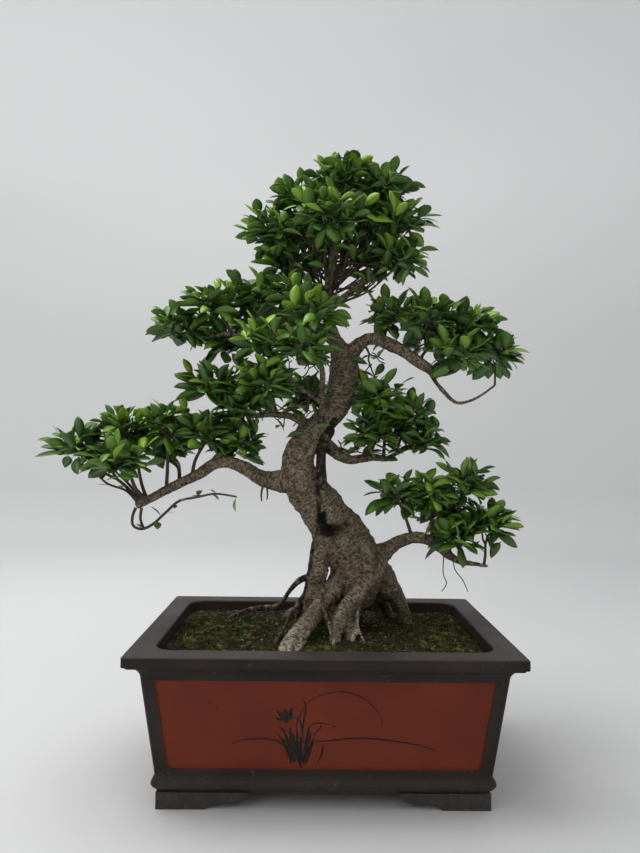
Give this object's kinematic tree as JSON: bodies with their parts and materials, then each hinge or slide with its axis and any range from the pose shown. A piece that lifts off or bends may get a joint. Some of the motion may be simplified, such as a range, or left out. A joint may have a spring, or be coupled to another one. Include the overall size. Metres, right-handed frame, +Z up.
{
  "type": "chinese banyan bonsai in a clay pot",
  "caption": "Indoor fig tree trained as an S-curved bonsai with exposed roots and glossy leaves, planted in a rectangular two-colour clay pot on bracket feet.",
  "frame": {"origin": "on the ground under the middle of the whole object's outer box; the pot's own middle is 56.3 mm towards +X and 2.8 mm towards -Y of it", "axes": "+Z up, +X to the right along the pot's long side as seen from the front, +Y away from the viewer, so the front panel of the pot faces -Y"},
  "size_m": [0.6878, 0.3356, 0.9044],
  "materials": {
    "pot_clay": "matte",
    "net_plastic": "satin",
    "grit": "matte",
    "soil": "matte",
    "moss": "matte",
    "bark": "matte",
    "leaf": "satin"
  },
  "bodies": {
    "root": {"pot": "pot_clay", "drain_net_left": "net_plastic", "drain_net_right": "net_plastic", "drainage_grit": "grit", "soil": "soil", "moss_left": "moss", "moss_front": "moss", "moss_right": "moss", "wood": "bark", "leaves_crown_top": "leaf", "leaves_crown_top_right": "leaf", "leaves_crown_top_left": "leaf", "leaves_crown_left": "leaf", "leaves_crown_right": "leaf", "leaves_crown_front": "leaf", "leaves_crown_back_left": "leaf", "leaves_crown_back_right": "leaf", "leaves_crown_low_left": "leaf", "leaves_crown_low_right": "leaf", "leaves_high_left_tip": "leaf", "leaves_high_left_outer": "leaf", "leaves_high_left_top": "leaf", "leaves_high_left_inner": "leaf", "leaves_high_left_low": "leaf", "leaves_high_left_back": "leaf", "leaves_front_top": "leaf", "leaves_front_left": "leaf", "leaves_front_middle": "leaf", "leaves_front_low": "leaf", "leaves_inner_left_tip": "leaf", "leaves_inner_left_middle": "leaf", "leaves_inner_left_back": "leaf", "leaves_left_tip": "leaf", "leaves_left_outer": "leaf", "leaves_left_middle": "leaf", "leaves_left_inner": "leaf", "leaves_left_back": "leaf", "leaves_left_front": "leaf", "leaves_left_crotch": "leaf", "leaves_high_right_inner": "leaf", "leaves_high_right_middle": "leaf", "leaves_high_right_outer": "leaf", "leaves_high_right_tip": "leaf", "leaves_high_right_low": "leaf", "leaves_high_right_back": "leaf", "leaves_middle_right_top": "leaf", "leaves_middle_right_outer": "leaf", "leaves_middle_right_low": "leaf", "leaves_middle_right_tip": "leaf", "leaves_middle_right_back": "leaf", "leaves_low_right_inner": "leaf", "leaves_low_right_middle": "leaf", "leaves_low_right_top": "leaf", "leaves_low_right_tip": "leaf", "leaves_low_right_under": "leaf", "leaves_low_right_back": "leaf", "leaves_back_left": "leaf", "leaves_back_right": "leaf"}
  },
  "joints": []
}
